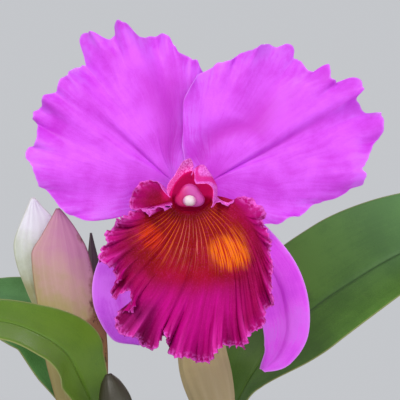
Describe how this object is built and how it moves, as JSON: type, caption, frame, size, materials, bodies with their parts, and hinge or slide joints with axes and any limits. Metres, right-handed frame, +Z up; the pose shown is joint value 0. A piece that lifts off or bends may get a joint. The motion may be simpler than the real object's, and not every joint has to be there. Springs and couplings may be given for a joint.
{
  "type": "cattleya orchid",
  "caption": "Potted cattleya orchid with a large frilled bloom, strap leaves, papery sheaths and upright pseudobulbs in bark.",
  "frame": {"origin": "centre of the pot's flat base, on the surface that it stands on", "axes": "+Z up, the bloom faces -Y, +X to the right as seen from the front"},
  "size_m": [0.3833, 0.1604, 0.4486],
  "materials": {
    "petal_magenta": "velvety magenta petal, paler at the rim",
    "sepal_magenta": "velvety magenta sepal",
    "lip_crimson": "velvety crimson lip with golden veins and a magenta frill",
    "column_pink": "waxy pale pink",
    "anther_cream": "waxy cream",
    "stalk_green": "smooth green stem",
    "leaf_green": "leathery, satin green leaf",
    "sheath_pink": "papery, pink to tan",
    "sheath_white": "papery white, greenish below",
    "sheath_grey": "dry grey-brown",
    "sheath_cream": "papery cream",
    "bulb_green": "smooth grooved green",
    "bract_tan": "dry papery tan",
    "new_growth": "purple-green skin",
    "rhizome": "woody rhizome with pale roots",
    "bark": "rough bark chips",
    "clay": "matt unglazed clay"
  },
  "bodies": {
    "root": {"petal_left": "petal_magenta", "petal_right": "petal_magenta", "sepal_dorsal": "sepal_magenta", "sepal_left": "sepal_magenta", "sepal_right": "sepal_magenta", "lip": "lip_crimson", "column": "column_pink", "anther_cap": "anther_cream", "flower_stalk": "stalk_green", "leaf_right": "leaf_green", "leaf_left": "leaf_green", "leaf_far_left": "leaf_green", "sheath_pink": "sheath_pink", "sheath_white": "sheath_white", "sheath_grey": "sheath_grey", "sheath_cream": "sheath_cream", "pseudobulb_lead": "bulb_green", "pseudobulb_left": "bulb_green", "pseudobulb_middle": "bulb_green", "pseudobulb_old": "bulb_green", "bract_lead": "bract_tan", "bract_left": "bract_tan", "bract_middle": "bract_tan", "bract_old": "bract_tan", "new_growth": "new_growth", "rhizome": "rhizome", "bark": "bark", "pot": "clay"}
  },
  "joints": []
}
